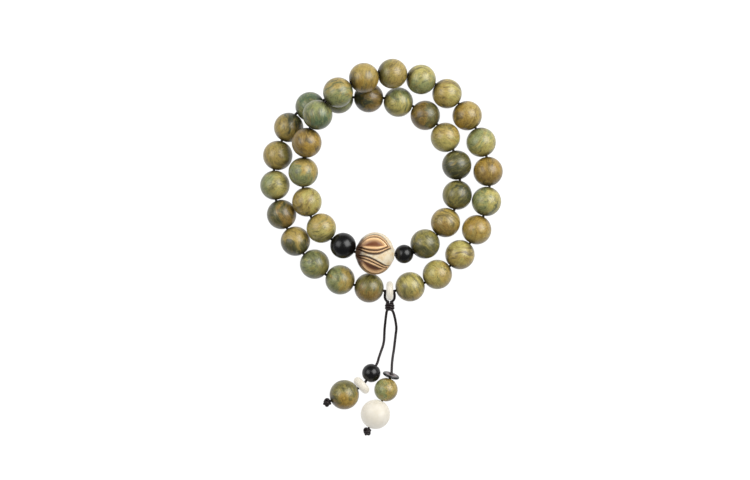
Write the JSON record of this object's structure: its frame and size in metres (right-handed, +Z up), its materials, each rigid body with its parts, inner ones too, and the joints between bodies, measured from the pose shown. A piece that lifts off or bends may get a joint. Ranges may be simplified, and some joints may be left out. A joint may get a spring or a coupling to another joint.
{
  "type": "mala prayer beads",
  "caption": "Strand of round green wood prayer beads laid in a double ring, with a carved focal bead, black and white accents, a head spacer and knotted cord drops.",
  "frame": {"origin": "on the table, under the middle of the box round all the beads", "axes": "+Z up from the table; +Y from the drops towards the far side of the ring; +X to the right with the drops nearest"},
  "size_m": [0.0822, 0.1274, 0.0207],
  "materials": {
    "green_wood": "waxed olive green sandalwood with brown and gold grain",
    "carved_root": "polished ivory coloured root with carved petals stained brown",
    "black_stone": "polished black stone",
    "white_stone": "polished translucent white stone",
    "cord": "waxed twisted cord, very dark brown"
  },
  "bodies": {
    "strand": {"main_cord": "cord", "head_spacer": "white_stone", "main_knot": "cord"},
    "wood_bead_01": {"wood_bead_01": "green_wood"},
    "wood_bead_02": {"wood_bead_02": "green_wood"},
    "wood_bead_03": {"wood_bead_03": "green_wood"},
    "wood_bead_04": {"wood_bead_04": "green_wood"},
    "wood_bead_05": {"wood_bead_05": "green_wood"},
    "wood_bead_06": {"wood_bead_06": "green_wood"},
    "wood_bead_07": {"wood_bead_07": "green_wood"},
    "wood_bead_08": {"wood_bead_08": "green_wood"},
    "wood_bead_09": {"wood_bead_09": "green_wood"},
    "wood_bead_10": {"wood_bead_10": "green_wood"},
    "wood_bead_11": {"wood_bead_11": "green_wood"},
    "wood_bead_12": {"wood_bead_12": "green_wood"},
    "wood_bead_13": {"wood_bead_13": "green_wood"},
    "wood_bead_14": {"wood_bead_14": "green_wood"},
    "wood_bead_15": {"wood_bead_15": "green_wood"},
    "wood_bead_16": {"wood_bead_16": "green_wood"},
    "wood_bead_17": {"wood_bead_17": "green_wood"},
    "wood_bead_18": {"wood_bead_18": "green_wood"},
    "small_black_bead": {"small_black_bead": "black_stone"},
    "carved_bead": {"carved_bead": "carved_root"},
    "large_black_bead": {"large_black_bead": "black_stone"},
    "wood_bead_19": {"wood_bead_19": "green_wood"},
    "wood_bead_20": {"wood_bead_20": "green_wood"},
    "wood_bead_21": {"wood_bead_21": "green_wood"},
    "wood_bead_22": {"wood_bead_22": "green_wood"},
    "wood_bead_23": {"wood_bead_23": "green_wood"},
    "wood_bead_24": {"wood_bead_24": "green_wood"},
    "wood_bead_25": {"wood_bead_25": "green_wood"},
    "wood_bead_26": {"wood_bead_26": "green_wood"},
    "wood_bead_27": {"wood_bead_27": "green_wood"},
    "wood_bead_28": {"wood_bead_28": "green_wood"},
    "wood_bead_29": {"wood_bead_29": "green_wood"},
    "wood_bead_30": {"wood_bead_30": "green_wood"},
    "wood_bead_31": {"wood_bead_31": "green_wood"},
    "wood_bead_32": {"wood_bead_32": "green_wood"},
    "wood_bead_33": {"wood_bead_33": "green_wood"},
    "wood_bead_34": {"wood_bead_34": "green_wood"},
    "wood_bead_35": {"wood_bead_35": "green_wood"},
    "wood_bead_36": {"wood_bead_36": "green_wood"},
    "left_drop": {"left_drop_cord": "cord", "left_end_knot": "cord"},
    "right_drop": {"right_drop_cord": "cord", "right_end_knot": "cord"},
    "left_drop_black_bead": {"left_drop_black_bead": "black_stone"},
    "left_drop_spacer": {"left_drop_spacer": "white_stone"},
    "left_drop_green_bead": {"left_drop_green_bead": "green_wood"},
    "right_drop_disc": {"right_drop_disc": "black_stone"},
    "right_drop_green_bead": {"right_drop_green_bead": "green_wood"},
    "right_drop_white_bead": {"right_drop_white_bead": "white_stone"}
  },
  "joints": [
    {"name": "left_drop_swing", "type": "hinge", "parent": "strand", "child": "left_drop", "pos_m": [0.00169, -0.02307, 0.0039], "axis": [0, 0, -1], "range_deg": [0, 45]},
    {"name": "right_drop_swing", "type": "hinge", "parent": "strand", "child": "right_drop", "pos_m": [0.00409, -0.02307, 0.0039], "axis": [0, 0, 1], "range_deg": [0, 60]},
    {"name": "wood_bead_01_spin", "type": "hinge", "parent": "strand", "child": "wood_bead_01", "pos_m": [-0.00422, -0.01459, 0.005], "axis": [-0.9814, 0.1918, 0], "continuous": true},
    {"name": "wood_bead_02_spin", "type": "hinge", "parent": "strand", "child": "wood_bead_02", "pos_m": [-0.01405, -0.01186, 0.005], "axis": [-0.9396, 0.3423, 0], "continuous": true},
    {"name": "wood_bead_03_spin", "type": "hinge", "parent": "strand", "child": "wood_bead_03", "pos_m": [-0.02268, -0.00654, 0.005], "axis": [-0.7302, 0.6833, 0], "continuous": true},
    {"name": "wood_bead_04_spin", "type": "hinge", "parent": "strand", "child": "wood_bead_04", "pos_m": [-0.02921, 0.00125, 0.005], "axis": [-0.5451, 0.8384, 0], "continuous": true},
    {"name": "wood_bead_05_spin", "type": "hinge", "parent": "strand", "child": "wood_bead_05", "pos_m": [-0.03388, 0.01031, 0.005], "axis": [-0.3676, 0.93, 0], "continuous": true},
    {"name": "wood_bead_06_spin", "type": "hinge", "parent": "strand", "child": "wood_bead_06", "pos_m": [-0.03615, 0.02025, 0.005], "axis": [-0.0729, 0.9973, 0], "continuous": true},
    {"name": "wood_bead_07_spin", "type": "hinge", "parent": "strand", "child": "wood_bead_07", "pos_m": [-0.03518, 0.03033, 0.005], "axis": [0.2602, 0.9656, 0], "continuous": true},
    {"name": "wood_bead_08_spin", "type": "hinge", "parent": "strand", "child": "wood_bead_08", "pos_m": [-0.03148, 0.03983, 0.005], "axis": [0.4607, 0.8876, 0], "continuous": true},
    {"name": "wood_bead_09_spin", "type": "hinge", "parent": "strand", "child": "wood_bead_09", "pos_m": [-0.02422, 0.04689, 0.005], "axis": [0.8982, 0.4396, 0], "continuous": true},
    {"name": "wood_bead_10_spin", "type": "hinge", "parent": "strand", "child": "wood_bead_10", "pos_m": [-0.01456, 0.04959, 0.005], "axis": [0.9954, 0.0958, 0], "continuous": true},
    {"name": "wood_bead_11_spin", "type": "hinge", "parent": "strand", "child": "wood_bead_11", "pos_m": [-0.00436, 0.04995, 0.005], "axis": [0.9997, -0.0251, 0], "continuous": true},
    {"name": "wood_bead_12_spin", "type": "hinge", "parent": "strand", "child": "wood_bead_12", "pos_m": [0.00573, 0.04845, 0.005], "axis": [0.9634, -0.2681, 0], "continuous": true},
    {"name": "wood_bead_13_spin", "type": "hinge", "parent": "strand", "child": "wood_bead_13", "pos_m": [0.01485, 0.04394, 0.005], "axis": [0.7992, -0.6011, 0], "continuous": true},
    {"name": "wood_bead_14_spin", "type": "hinge", "parent": "strand", "child": "wood_bead_14", "pos_m": [0.02168, 0.03647, 0.005], "axis": [0.5298, -0.8481, 0], "continuous": true},
    {"name": "wood_bead_15_spin", "type": "hinge", "parent": "strand", "child": "wood_bead_15", "pos_m": [0.02553, 0.02706, 0.005], "axis": [0.2173, -0.9761, 0], "continuous": true},
    {"name": "wood_bead_16_spin", "type": "hinge", "parent": "strand", "child": "wood_bead_16", "pos_m": [0.02567, 0.01692, 0.005], "axis": [-0.1873, -0.9823, 0], "continuous": true},
    {"name": "wood_bead_17_spin", "type": "hinge", "parent": "strand", "child": "wood_bead_17", "pos_m": [0.02172, 0.00758, 0.00515], "axis": [-0.5722, -0.8196, 0.0285], "continuous": true},
    {"name": "wood_bead_18_spin", "type": "hinge", "parent": "strand", "child": "wood_bead_18", "pos_m": [0.01477, 0.00033, 0.00626], "axis": [-0.7808, -0.5962, 0.1868], "continuous": true},
    {"name": "wood_bead_19_spin", "type": "hinge", "parent": "strand", "child": "wood_bead_19", "pos_m": [-0.02032, 0.00566, 0.00828], "axis": [-0.6783, 0.7332, -0.0487], "continuous": true},
    {"name": "wood_bead_20_spin", "type": "hinge", "parent": "strand", "child": "wood_bead_20", "pos_m": [-0.02518, 0.01451, 0.00836], "axis": [-0.2595, 0.9637, 0.0632], "continuous": true},
    {"name": "wood_bead_21_spin", "type": "hinge", "parent": "strand", "child": "wood_bead_21", "pos_m": [-0.02634, 0.02449, 0.00985], "axis": [0.0327, 0.9737, 0.2257], "continuous": true},
    {"name": "wood_bead_22_spin", "type": "hinge", "parent": "strand", "child": "wood_bead_22", "pos_m": [-0.02509, 0.03425, 0.01242], "axis": [0.2108, 0.9377, 0.2763], "continuous": true},
    {"name": "wood_bead_23_spin", "type": "hinge", "parent": "strand", "child": "wood_bead_23", "pos_m": [-0.02138, 0.04343, 0.01484], "axis": [0.5072, 0.8401, 0.1924], "continuous": true},
    {"name": "wood_bead_24_spin", "type": "hinge", "parent": "strand", "child": "wood_bead_24", "pos_m": [-0.01452, 0.05086, 0.01567], "axis": [0.8091, 0.5868, -0.0321], "continuous": true},
    {"name": "wood_bead_25_spin", "type": "hinge", "parent": "strand", "child": "wood_bead_25", "pos_m": [-0.0059, 0.05582, 0.01406], "axis": [0.8779, 0.3895, -0.2785], "continuous": true},
    {"name": "wood_bead_26_spin", "type": "hinge", "parent": "strand", "child": "wood_bead_26", "pos_m": [0.00366, 0.0575, 0.01117], "axis": [0.9583, -0.064, -0.2784], "continuous": true},
    {"name": "wood_bead_27_spin", "type": "hinge", "parent": "strand", "child": "wood_bead_27", "pos_m": [0.01334, 0.0558, 0.00849], "axis": [0.9324, -0.2671, -0.2436], "continuous": true},
    {"name": "wood_bead_28_spin", "type": "hinge", "parent": "strand", "child": "wood_bead_28", "pos_m": [0.02217, 0.05119, 0.00647], "axis": [0.7707, -0.6202, -0.1461], "continuous": true},
    {"name": "wood_bead_29_spin", "type": "hinge", "parent": "strand", "child": "wood_bead_29", "pos_m": [0.02904, 0.04381, 0.00536], "axis": [0.5707, -0.8181, -0.071], "continuous": true},
    {"name": "wood_bead_30_spin", "type": "hinge", "parent": "strand", "child": "wood_bead_30", "pos_m": [0.0338, 0.03481, 0.005], "axis": [0.3577, -0.9339, 0], "continuous": true},
    {"name": "wood_bead_31_spin", "type": "hinge", "parent": "strand", "child": "wood_bead_31", "pos_m": [0.03615, 0.02491, 0.005], "axis": [0.1001, -0.995, 0], "continuous": true},
    {"name": "wood_bead_32_spin", "type": "hinge", "parent": "strand", "child": "wood_bead_32", "pos_m": [0.03562, 0.01475, 0.005], "axis": [-0.2032, -0.9791, 0], "continuous": true},
    {"name": "wood_bead_33_spin", "type": "hinge", "parent": "strand", "child": "wood_bead_33", "pos_m": [0.03228, 0.00513, 0.005], "axis": [-0.446, -0.895, 0], "continuous": true},
    {"name": "wood_bead_34_spin", "type": "hinge", "parent": "strand", "child": "wood_bead_34", "pos_m": [0.02661, -0.00332, 0.005], "axis": [-0.6575, -0.7535, 0], "continuous": true},
    {"name": "wood_bead_35_spin", "type": "hinge", "parent": "strand", "child": "wood_bead_35", "pos_m": [0.01894, -0.01003, 0.005], "axis": [-0.8346, -0.5508, 0], "continuous": true},
    {"name": "wood_bead_36_spin", "type": "hinge", "parent": "strand", "child": "wood_bead_36", "pos_m": [0.00971, -0.01421, 0.005], "axis": [-0.9637, -0.267, 0], "continuous": true},
    {"name": "small_black_bead_spin", "type": "hinge", "parent": "strand", "child": "small_black_bead", "pos_m": [0.00759, -0.00308, 0.00846], "axis": [-0.9268, -0.095, 0.3634], "continuous": true},
    {"name": "carved_bead_spin", "type": "hinge", "parent": "strand", "child": "carved_bead", "pos_m": [-0.00222, -0.00289, 0.00961], "axis": [-0.9974, 0.0719, 0.0003], "continuous": true},
    {"name": "large_black_bead_spin", "type": "hinge", "parent": "strand", "child": "large_black_bead", "pos_m": [-0.01295, -0.00024, 0.00906], "axis": [-0.8718, 0.4748, -0.1203], "continuous": true},
    {"name": "left_drop_black_bead_spin", "type": "hinge", "parent": "left_drop", "child": "left_drop_black_bead", "pos_m": [-0.00347, -0.04363, 0.00315], "axis": [-0.5279, -0.8448, 0.0872], "continuous": true},
    {"name": "left_drop_spacer_spin", "type": "hinge", "parent": "left_drop", "child": "left_drop_spacer", "pos_m": [-0.00679, -0.04779, 0.00351], "axis": [-0.7359, -0.6626, 0.1392], "continuous": true},
    {"name": "left_drop_green_bead_spin", "type": "hinge", "parent": "left_drop", "child": "left_drop_green_bead", "pos_m": [-0.01262, -0.05084, 0.005], "axis": [-0.9023, -0.4017, 0.1564], "continuous": true},
    {"name": "right_drop_disc_spin", "type": "hinge", "parent": "right_drop", "child": "right_drop_disc", "pos_m": [0.00327, -0.04444, 0.00317], "axis": [-0.3196, -0.9281, -0.1908], "continuous": true},
    {"name": "right_drop_green_bead_spin", "type": "hinge", "parent": "right_drop", "child": "right_drop_green_bead", "pos_m": [0.00154, -0.04921, 0.004], "axis": [-0.3401, -0.9345, 0.1045], "continuous": true},
    {"name": "right_drop_white_bead_spin", "type": "hinge", "parent": "right_drop", "child": "right_drop_white_bead", "pos_m": [-0.00204, -0.0575, 0.005], "axis": [-0.4351, -0.8921, 0.1219], "continuous": true}
  ]
}
